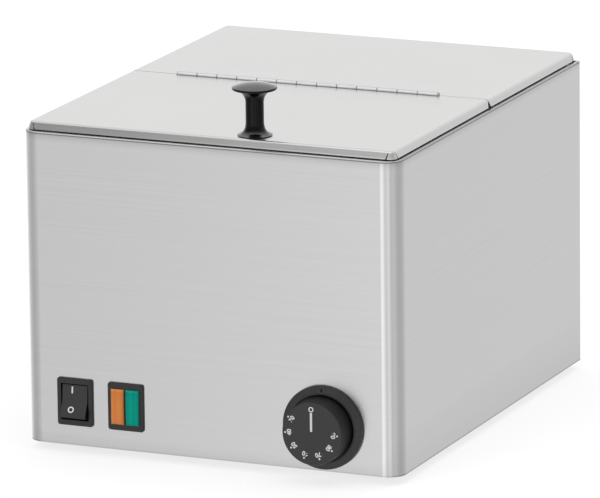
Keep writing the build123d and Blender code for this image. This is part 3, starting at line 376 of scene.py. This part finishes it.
def moulded_plastic(
    name, light, dark, roughness, grain_size=0.4 * MM, grain_depth=0.02 * MM, side_shade_level=1.0
):
    """Plastic with a fine grain. Its sides may get painted shade, darker than the faces to the front and
    the back.
    """
    plastic = Finish(name)
    cloud = plastic.noise(40.0, detail=3.0)
    # Painted shade on the sides, by how far the surface turns from the front
    level = plastic.spread(plastic.turned("Y"), side_shade_level, 1.0, 0.3, 0.9)
    tint = plastic.colour(plastic.spread(cloud, 0.0, 1.0), dark, light)
    plastic.set(base_color=plastic.vector("MULTIPLY", tint, level))
    grain = plastic.noise(1.0 / grain_size)
    plastic.set(roughness=plastic.spread(plastic.mix(0.5, grain, cloud), *roughness))
    plastic.bump(grain, grain_depth, 0.6)
    return plastic.material


def polished_knob(name):
    """Hard black plastic polished like metal. Its painted sheen makes it darker on its upright stem and
    lighter on its top.
    """
    dull, clear = 0.9, 1.1
    knob = Finish(name)
    cloud = knob.spread(knob.noise(500.0, detail=3.0), dull, clear)
    # Painted sheen: lighter where the surface faces up, darker on the upright stem
    level = knob.product(cloud, knob.spread(knob.turned("Z"), 0.016, 0.105, 0.5, 0.95))
    painted_light = knob.node("ShaderNodeCombineXYZ")
    for axis in "XYZ":
        knob.put(painted_light.inputs[axis], level)
    knob.set(base_color=painted_light.outputs[0], metallic=1.0)
    knob.set(roughness=knob.spread(cloud, 0.13, 0.18, dull, clear))
    knob.bump(knob.noise(900.0), 0.00001, 0.4)
    return knob.material


def lamp_lens(name, light, dark, node):
    """A tinted lens with upright prisms moulded into its inner face, and painted shade towards its edges.
    """
    low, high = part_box(node)
    half = (high - low) / 2
    lens = Finish(name)
    prisms = lens.node("ShaderNodeTexWave", wave_type="BANDS", bands_direction="X")
    lens.put(prisms.inputs["Vector"], lens.place)
    lens.put(prisms.inputs["Scale"], 70.0)
    lens.put(prisms.inputs["Distortion"], 0.6)
    lens.put(prisms.inputs["Detail"], 1.0)
    cloud = lens.noise(90.0, (1.0, 1.0, 0.3))
    # Painted shade: darker towards the lens's edges, lighter in its middle
    from_middle = lens.vector("SUBTRACT", lens.place, middle(node))
    in_halves = lens.vector("MULTIPLY", from_middle, (1.0 / half.x, 0.0, 1.0 / half.z))
    painted_edge_shade = lens.spread(lens.vector("LENGTH", in_halves), 1.03, 0.93, 0.3, 1.3)
    tint = lens.colour(lens.mix(0.6, prisms.outputs["Fac"], cloud), dark, light)
    lens.set(base_color=lens.vector("MULTIPLY", tint, painted_edge_shade))
    lens.set(roughness=lens.spread(cloud, 0.15, 0.25), specular_ior_level=0.1)
    lens.set(subsurface_weight=0.3, subsurface_scale=2.0 * MM)
    return lens.material


SATIN = (0.42, 0.55)
materials = {
    "stainless": brushed_steel("brushed stainless steel", (0.61, 0.615, 0.62), (0.55, 0.555, 0.56)),
    "casing_steel": brushed_steel(
        "brushed casing steel with painted light", (0.605, 0.605, 0.605), (0.57, 0.57, 0.57), (0.21, 0.28),
        painted_light=casing_shade),
    "lid_steel": brushed_steel(
        "brushed lid steel with painted light", (0.61, 0.61, 0.605), (0.57, 0.57, 0.565), (0.22, 0.28),
        painted_light=lid_shade),
    "bowl_steel": brushed_steel(
        "drawn bowl steel", (0.65, 0.655, 0.66), (0.6, 0.605, 0.61), (0.26, 0.38), anisotropy=0.3),
    "hinge_steel": rolled_hinge(
        "rolled hinge steel with painted light", (0.66, 0.665, 0.67), (0.6, 0.605, 0.61), (0.38, 0.48)),
    "zinc_steel": plated_metal("bright zinc plate", (0.62, 0.63, 0.65), (0.5, 0.51, 0.5)),
    "galvanised": plated_metal(
        "galvanised sheet", (0.58, 0.6, 0.61), (0.44, 0.46, 0.48), (0.35, 0.55), scale=90.0),
    "element_sheath": plated_metal(
        "heat-darkened sheath", (0.3, 0.27, 0.24), (0.16, 0.14, 0.14), (0.3, 0.5)),
    "copper": plated_metal("copper", (0.8, 0.42, 0.28), (0.6, 0.28, 0.18)),
    "brass": plated_metal("brass", (0.78, 0.6, 0.3), (0.6, 0.43, 0.2)),
    "black_plastic": moulded_plastic("black plastic", (0.028, 0.028, 0.029), (0.02, 0.02, 0.021), SATIN),
    "panel_black": moulded_plastic(
        "black control plastic with painted side shade", (0.03, 0.03, 0.031), (0.021, 0.021, 0.022), SATIN, side_shade_level=0.1),
    "bezel_black": moulded_plastic(
        "black bezel plastic with painted side shade", (0.019, 0.019, 0.02), (0.01, 0.01, 0.011), SATIN, side_shade_level=0.1),
    "knob_black": polished_knob("polished black knob with painted sheen"),
    "rubber": moulded_plastic(
        "rubber", (0.03, 0.03, 0.03), (0.02, 0.02, 0.02), (0.7, 0.85), 0.8 * MM, 0.05 * MM),
    "grey_plastic": moulded_plastic(
        "grey moulded plastic", (0.3, 0.3, 0.29), (0.24, 0.24, 0.235), (0.45, 0.6)),
    "ceramic": moulded_plastic("glazed ceramic", (0.8, 0.78, 0.72), (0.72, 0.7, 0.64), (0.1, 0.2)),
    "orange_lens": lamp_lens("orange lens with painted edge shade", (0.84, 0.31, 0.088), (0.74, 0.24, 0.062), "lens_orange"),
    "green_lens": lamp_lens("green lens with painted edge shade", (0.0, 0.43, 0.33), (0.0, 0.29, 0.22), "lens_green"),
    "white_print": moulded_plastic("white print", (0.82, 0.82, 0.8), (0.76, 0.76, 0.75), (0.5, 0.6)),
}
OWN_FINISHES = {
    "casing_steel": ("casing",),
    "lid_steel": ("lid_front", "lid_rear"),
    "hinge_steel": ("hinge_leaf_front", "hinge_leaf_rear", "hinge_pin"),
    "bowl_steel": ("container", "perforated_floor", "tank"),
    "knob_black": ("lid_knob",),
    "panel_black": ("dial_knob", "dial_ring", "rocker"),
    "bezel_black": ("switch_housing", "lamp_housing"),
}
kinds = {part["node"]: part["material_slot"] for part in frame["record"]["subparts"]}
kinds.update((node, kind) for kind, nodes in OWN_FINISHES.items() for node in nodes)
for name, node in frame["nodes"].items():
    node.material_slots[0].link = "OBJECT"
    node.material_slots[0].material = materials[kinds[name]]


# New pieces

def mesh_of(name, shape):
    """A mesh made of this shape, with its faces turned outwards."""
    bmesh.ops.recalc_face_normals(shape, faces=shape.faces)
    mesh = bpy.data.meshes.new(name)
    shape.to_mesh(mesh)
    shape.free()
    return mesh


def add_piece(name, mesh, kind, body):
    """A piece of one material that rides on a body. Its mesh is made where the piece stands."""
    mesh.materials.clear()
    mesh.materials.append(materials[kind])
    piece = bpy.data.objects.new(name, mesh)
    bpy.context.scene.collection.objects.link(piece)
    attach(piece, body)
    return piece


def round_points(count):
    """The cosines and sines of this many equal steps round a circle."""
    return [(math.cos(a), math.sin(a)) for a in (2.0 * math.pi * i / count for i in range(count))]


def join_loops(shape, first, second):
    """Faces between two closed loops with as many points each."""
    for i in range(len(first)):
        j = (i + 1) % len(first)
        shape.faces.new((first[i], first[j], second[j], second[i]))


# The printed marks

PRINT = 0.08 * MM
STROKE_GROWTH = 0.15 * MM
# In the photograph the prints lie a little beside the middles of the dial and the switch
DIAL_SHIFT = Vector((-0.4, 0.0, 0.6)) * MM
OFF_MARK_HEIGHT, OFF_MARK_OUTER, OFF_MARK_INNER = 16.2 * MM, 1.8 * MM, 1.1 * MM
POINTER_WIDTH, POINTER_LENGTH, POINTER_HEIGHT = 1.55 * MM, 12.8 * MM, 7.6 * MM
NUMBERS = (30, 40, 50, 60, 70, 80, 90)
NUMBERS_SHIFT = Vector((-0.1, 0.0, 0.9)) * MM
FIRST_NUMBER_DEGREES, NUMBER_STEP_DEGREES = 60.6, 34.4
DOT_RADIUS, DOT_HEIGHT = 0.65 * MM, 18.5 * MM
NUMBER_SIZE, NUMBER_HEIGHT = 4.2 * MM, 15.5 * MM
SWITCH_SHIFT = -1.9 * MM
ON_MARK_WIDTH, ON_MARK_LENGTH, ON_MARK_HEIGHT = 1.1 * MM, 4.6 * MM, 8.2 * MM
SWITCH_RING_OUTER, SWITCH_RING_INNER, SWITCH_RING_HEIGHT = 2.15 * MM, 1.35 * MM, -5.3 * MM
UPPER_FACE_LEAN, LOWER_FACE_LEAN = 5.0, 26.0


def plate(outline, place):
    """A thin solid with this outline, in X and Z, from the surface outwards."""
    shape = bmesh.new()
    far = [shape.verts.new(place @ Vector((x, 0.0, z))) for x, z in outline]
    near = [shape.verts.new(place @ Vector((x, -PRINT, z))) for x, z in outline]
    shape.faces.new(near)
    shape.faces.new(list(reversed(far)))
    join_loops(shape, near, far)
    return shape


def ring(outer, inner, place):
    """A thin flat ring, from the surface outwards."""
    shape = bmesh.new()
    loops = []
    for radius, depth in ((inner, 0.0), (inner, -PRINT), (outer, -PRINT), (outer, 0.0)):
        points = [Vector((radius * c, depth, radius * s)) for c, s in round_points(48)]
        loops.append([shape.verts.new(place @ point) for point in points])
    for first, second in zip(loops, loops[1:] + loops[:1]):
        join_loops(shape, first, second)
    return shape


def bar(width, height):
    """The outline of an upright bar."""
    x, z = width / 2, height / 2
    return [(-x, -z), (x, -z), (x, z), (-x, z)]


def disc(radius):
    """The outline of a dot."""
    return [(radius * c, radius * s) for c, s in round_points(24)]


def raised(place, height, outwards=0.0):
    """A place this far above another one, in its own frame."""
    return place @ Matrix.Translation((0.0, -outwards, height))


def add_print(name, mesh, body):
    """A piece in white print, riding on a body."""
    add_piece(name, mesh, "white_print", body)


def add_mark(name, shape, body):
    add_print(name, mesh_of(name, shape), body)


def number_mesh(name, number, place):
    """A number in thin solid writing, in the middle of this place."""
    curve = bpy.data.curves.new(name, "FONT")
    curve.body = str(number)
    curve.size = NUMBER_SIZE
    curve.align_x = "CENTER"
    curve.align_y = "CENTER"
    curve.extrude = PRINT / 2
    curve.offset = STROKE_GROWTH
    writing = bpy.data.objects.new(name + ".text", curve)
    bpy.context.scene.collection.objects.link(writing)
    bpy.context.view_layer.update()
    mesh = bpy.data.meshes.new_from_object(writing)
    mesh.transform(place @ Matrix.Rotation(math.pi / 2, 4, "X"))
    mesh.name = name
    bpy.data.objects.remove(writing)
    return mesh


def add_dial_print():
    axis = middle("dial_knob")
    on_face = Vector((axis.x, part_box("dial_knob")[0].y, axis.z))
    face = Matrix.Translation(on_face + DIAL_SHIFT)
    off_mark = ring(OFF_MARK_OUTER, OFF_MARK_INNER, raised(face, OFF_MARK_HEIGHT))
    add_mark("dial_off_mark", off_mark, "dial")
    pointer = plate(bar(POINTER_WIDTH, POINTER_LENGTH), raised(face, POINTER_HEIGHT))
    add_mark("dial_pointer", pointer, "dial")
    for count, number in enumerate(NUMBERS):
        angle = math.radians(FIRST_NUMBER_DEGREES + count * NUMBER_STEP_DEGREES)
        turned = Matrix.Translation(NUMBERS_SHIFT) @ face @ Matrix.Rotation(-angle, 4, "Y")
        add_mark(f"dial_dot_{count}", plate(disc(DOT_RADIUS), raised(turned, DOT_HEIGHT)), "dial")
        name = f"dial_number_{count}"
        number_place = raised(turned, NUMBER_HEIGHT, PRINT / 2)
        add_print(name, number_mesh(name, number, number_place), "dial")


def add_switch_print():
    """The signs on the rocker's two faces, at their heights above and below the ridge between them."""
    centre = middle("switch_housing")
    ridge = Matrix.Translation((centre.x + SWITCH_SHIFT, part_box("switch_housing")[0].y, centre.z))
    upper_face = ridge @ Matrix.Rotation(math.radians(-UPPER_FACE_LEAN), 4, "X")
    lower_face = ridge @ Matrix.Rotation(math.radians(-LOWER_FACE_LEAN), 4, "X")
    on_mark = plate(bar(ON_MARK_WIDTH, ON_MARK_LENGTH), raised(upper_face, ON_MARK_HEIGHT))
    add_mark("switch_on_mark", on_mark, "rocker")
    off_mark = ring(SWITCH_RING_OUTER, SWITCH_RING_INNER, raised(lower_face, SWITCH_RING_HEIGHT))
    add_mark("switch_off_mark", off_mark, "rocker")


add_dial_print()
add_switch_print()


# The screws, with their threads and cross recesses, in place of the plain ones

HEAD_HEIGHT = 2.2 * MM
# The head's outline from its underside up, as heights and radii in millimetres
HEAD_OUTLINE = (
    (0.0, 3.3), (0.1, 3.4), (1.0, 3.4), (1.35, 3.3), (1.7, 3.05), (1.95, 2.7), (2.12, 2.2), (2.2, 1.6),
)
THREAD_RADIUS = 1.8 * MM
THREAD_PITCH = 0.7 * MM
THREAD_DEPTH = 0.3 * MM
THREAD_STEP = THREAD_PITCH / 6.0
POINT_RADIUS = THREAD_RADIUS * 0.6
POINT_LENGTH = 0.4 * MM
PLAIN_NECK = 0.3 * MM
UNTHREADED = 0.9 * MM
SIDES = 32
CROSS_HALF_WIDTH, CROSS_REACH = 0.5 * MM, 2.0 * MM
CROSS_DEPTH, CROSS_TAPER, CROSS_OVERSHOOT = 1.4 * MM, 0.4, 0.5 * MM
SPIN_DEGREES = 37.0


def threaded_radius(height, angle):
    """How far the shank reaches from its axis, on a thread with sloping sides."""
    turn = height / THREAD_PITCH - angle / (2.0 * math.pi)
    return THREAD_RADIUS - THREAD_DEPTH * abs(2.0 * (turn - math.floor(turn)) - 1.0)


def screw_body(length):
    """A pan-head screw along Z, its head on z = 0 and its threaded shank below."""
    angles = [2.0 * math.pi * i / SIDES for i in range(SIDES)]
    rows = [(-length, [POINT_RADIUS] * SIDES)]
    for count in range(int((length - UNTHREADED) / THREAD_STEP)):
        height = -length + POINT_LENGTH + THREAD_STEP * count
        rows.append((height, [threaded_radius(height, angle) for angle in angles]))
    rows += [(height, [THREAD_RADIUS] * SIDES) for height in (-PLAIN_NECK, 0.0)]
    rows += [(height * MM, [radius * MM] * SIDES) for height, radius in HEAD_OUTLINE]
    shape = bmesh.new()
    loops = []
    for height, radii in rows:
        points = [(r * c, r * s, height) for r, (c, s) in zip(radii, round_points(SIDES))]
        loops.append([shape.verts.new(point) for point in points])
    for lower, upper in zip(loops, loops[1:]):
        join_loops(shape, lower, upper)
    shape.faces.new(list(reversed(loops[0])))
    shape.faces.new(loops[-1])
    return shape


def cross_cutter():
    """A cross that narrows downwards, for the recess in a screw's head."""
    half, reach = CROSS_HALF_WIDTH, CROSS_REACH
    arm = ((reach, -half), (reach, half), (half, half))
    outline = []
    for c, s in ((1, 0), (0, 1), (-1, 0), (0, -1)):
        outline += [(x * c - y * s, x * s + y * c) for x, y in arm]
    shape = bmesh.new()
    rim_height, tip_height = HEAD_HEIGHT + CROSS_OVERSHOOT, HEAD_HEIGHT - CROSS_DEPTH
    painted_rim_shade = [shape.verts.new((x, y, rim_height)) for x, y in outline]
    tip = [shape.verts.new((x * CROSS_TAPER, y * CROSS_TAPER, tip_height)) for x, y in outline]
    shape.faces.new(painted_rim_shade)
    shape.faces.new(list(reversed(tip)))
    join_loops(shape, tip, painted_rim_shade)
    return shape


def screw_mesh(length):
    """One screw with the cross cut out of its head."""
    screw = bpy.data.objects.new("screw", mesh_of("screw", screw_body(length)))
    cutter = bpy.data.objects.new("cross", mesh_of("cross", cross_cutter()))
    for loose in (screw, cutter):
        bpy.context.scene.collection.objects.link(loose)
    recess = screw.modifiers.new("recess", "BOOLEAN")
    recess.operation = "DIFFERENCE"
    recess.solver = "EXACT"
    recess.object = cutter
    bpy.context.view_layer.update()
    mesh = bpy.data.meshes.new_from_object(screw.evaluated_get(bpy.context.evaluated_depsgraph_get()))
    for loose in (screw, cutter):
        bpy.data.objects.remove(loose)
    return mesh


DOWN = Matrix.Rotation(math.pi, 4, "X")
BACK = Matrix.Rotation(-math.pi / 2, 4, "X")
FRONT = Matrix.Rotation(math.pi / 2, 4, "X")


def detailed_screws(node, kind, facing, offsets):
    """Replaces a node of equal screws. Their offsets from the middle of its box are in millimetres."""
    low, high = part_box(node)
    outwards = facing.to_3x3() @ Vector((0.0, 0.0, 1.0))
    full_length = abs((high - low).dot(outwards))
    length = round(full_length - HEAD_HEIGHT, 5)
    first_seat = middle(node) + outwards * (full_length / 2 - HEAD_HEIGHT)
    pattern = screw_mesh(length)
    shape = bmesh.new()
    for number, offset in enumerate(offsets):
        copy = pattern.copy()
        spin = Matrix.Rotation(math.radians(SPIN_DEGREES * number), 4, "Z")
        copy.transform(Matrix.Translation(first_seat + Vector(offset) * MM) @ facing @ spin)
        shape.from_mesh(copy)
        bpy.data.meshes.remove(copy)
    name = node + "_threaded"
    mesh = bpy.data.meshes.new(name)
    shape.to_mesh(mesh)
    shape.free()
    piece = add_piece(name, mesh, kind, "housing")
    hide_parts(node)


BASE_OFFSETS = [(x, y, 0.0) for x in (-128.0, 128.0) for y in (-110.0, 0.0, 110.0)]
FOOT_OFFSETS = [(x, y, 0.0) for x in (-100.0, 100.0) for y in (-130.0, 130.0)]
PANEL_OFFSETS = [(x, 0.0, z) for x in (-126.0, 126.0) for z in (-89.05, -2.5, 89.05)]
THERMOSTAT_OFFSETS = [(x, 0.0, 0.0) for x in (-14.0, 14.0)]
SINGLE = [(0.0, 0.0, 0.0)]
detailed_screws("base_screws", "zinc_steel", DOWN, BASE_OFFSETS)
detailed_screws("foot_screws", "zinc_steel", DOWN, FOOT_OFFSETS)
detailed_screws("block_screw", "zinc_steel", DOWN, SINGLE)
detailed_screws("earth_screw", "brass", DOWN, SINGLE)
detailed_screws("rear_panel_screws", "zinc_steel", BACK, PANEL_OFFSETS)
detailed_screws("thermostat_screws", "zinc_steel", FRONT, THERMOSTAT_OFFSETS)


# The studio: a soft world with a pattern for the metal to mirror, a pale floor and soft lamps

WHITE = (1.0, 1.0, 1.0, 1.0)
# Brightness by degrees round the horizon: 0 at the front, 90 at the right-hand side, 180 at the back
HORIZON = (
    (-180, 0.95), (-157, 1.2), (-135, 1.25), (-123, 1.1), (-103, 0.9), (-83, 0.7), (-60, 0.67),
    (-43, 0.77), (-32, 0.9), (-23, 0.94), (-19, 1.17), (-14, 1.42), (-7, 1.4), (0, 1.1), (8, 0.92),
    (17, 0.95), (27, 1.12), (37, 0.9), (47, 0.77), (58, 0.84), (77, 0.72), (97, 0.64), (117, 0.68),
    (137, 0.8), (157, 0.92), (180, 0.95),
)
HORIZON_FULL = 1.6
FRONT_LEVEL, BACK_LEVEL, CEILING_LEVEL = 0.5, 1.1, 1.3
PLAIN_LEVEL = 0.9
# The degrees over which the front fades at its sides, and those over which each part sets in upwards
FRONT_ENDS = (70.0, 110.0)
FRONT_RISE, BACK_RISE, CEILING_RISE = (0.0, 8.0), (2.0, 14.0), (34.0, 46.0)
FLOOR_HALF = 6.0
FLOOR_GLOW = 0.68


class Studio(Finish):
    """The world's nodes, with the same short calls."""

    def __init__(self):
        self.start(bpy.data.worlds.new("studio"), "ShaderNodeBackground", "ShaderNodeOutputWorld")
        bpy.context.scene.world = self.material
        self.place = self.node("ShaderNodeTexCoord").outputs["Generated"]


def add_world():
    """Shiny surfaces mirror the pattern, a plain level lights the rest, and the camera sees white."""
    world = Studio()
    to_front = world.math("MULTIPLY", world.part("Y", world.place), -1.0)
    azimuth = world.math("ARCTAN2", world.part("X", world.place), to_front)
    turn = world.math("MULTIPLY", azimuth, 180.0 / math.pi)
    height = world.math("MULTIPLY", world.math("ARCSINE", world.part("Z", world.place)), 180.0 / math.pi)
    points = [((degrees + 180.0) / 360.0, level / HORIZON_FULL) for degrees, level in HORIZON]
    share = world.math("DIVIDE", world.math("ADD", turn, 180.0), 360.0)
    walls = world.math("MULTIPLY", world.curve(share, points), HORIZON_FULL)
    front = world.spread(world.math("ABSOLUTE", turn), 1.0, 0.0, *FRONT_ENDS)
    over_front = world.product(front, world.spread(height, 0.0, 1.0, *FRONT_RISE))
    dark_front = world.mix(over_front, walls, FRONT_LEVEL)
    back = world.math("SUBTRACT", 1.0, front)
    over_back = world.product(back, world.spread(height, 0.0, 1.0, *BACK_RISE))
    bright_back = world.mix(over_back, dark_front, BACK_LEVEL)
    ceiling = world.spread(height, 0.0, 1.0, *CEILING_RISE)
    pattern = world.mix(ceiling, bright_back, CEILING_LEVEL)
    rays = world.node("ShaderNodeLightPath")
    light = world.mix(rays.outputs["Is Glossy Ray"], PLAIN_LEVEL, pattern)
    world.put(world.surface.inputs["Color"], WHITE)
    world.put(world.surface.inputs["Strength"], world.mix(rays.outputs["Is Camera Ray"], light, 1.0))


def floor_finish():
    """A pale grey that glows to the camera, so that the floor looks white and the shadow on it faint."""
    ground = Finish("white floor")
    tint = ground.colour(ground.noise(2.0), (0.34, 0.34, 0.34), (0.36, 0.36, 0.36))
    ground.set(base_color=tint, roughness=0.9, specular_ior_level=0.0)
    rays = ground.node("ShaderNodeLightPath")
    direct = ground.math("MAXIMUM", rays.outputs["Is Camera Ray"], rays.outputs["Is Glossy Ray"])
    seen = ground.math("MAXIMUM", direct, rays.outputs["Is Transmission Ray"])
    ground.set(emission_color=WHITE, emission_strength=ground.product(seen, FLOOR_GLOW))
    return ground.material


def add_floor():
    shape = bmesh.new()
    corners = [(x * FLOOR_HALF, y * FLOOR_HALF, 0.0) for x, y in ((-1, -1), (1, -1), (1, 1), (-1, 1))]
    shape.faces.new([shape.verts.new(corner) for corner in corners])
    mesh = bpy.data.meshes.new("floor")
    shape.to_mesh(mesh)
    shape.free()
    mesh.materials.append(floor_finish())
    floor = bpy.data.objects.new("floor", mesh)
    floor.visible_glossy = False
    bpy.context.scene.collection.objects.link(floor)


def add_lamp(name, place, size, power):
    lamp = bpy.data.lights.new(name, "AREA")
    lamp.shape = "SQUARE"
    lamp.size = size
    lamp.energy = power
    spot = bpy.data.objects.new(name, lamp)
    bpy.context.scene.collection.objects.link(spot)
    spot.location = place
    spot.rotation_euler = turned_to_target(Vector(place)).to_euler()
    spot.visible_camera = False
    spot.visible_glossy = False


add_world()
add_floor()
add_lamp("lamp_front", (-0.8, -2.4, 1.9), 1.2, 14.0)
add_lamp("lamp_top", (0.6, 0.4, 2.6), 1.6, 12.0)

bpy.context.scene.view_settings.view_transform = "Standard"
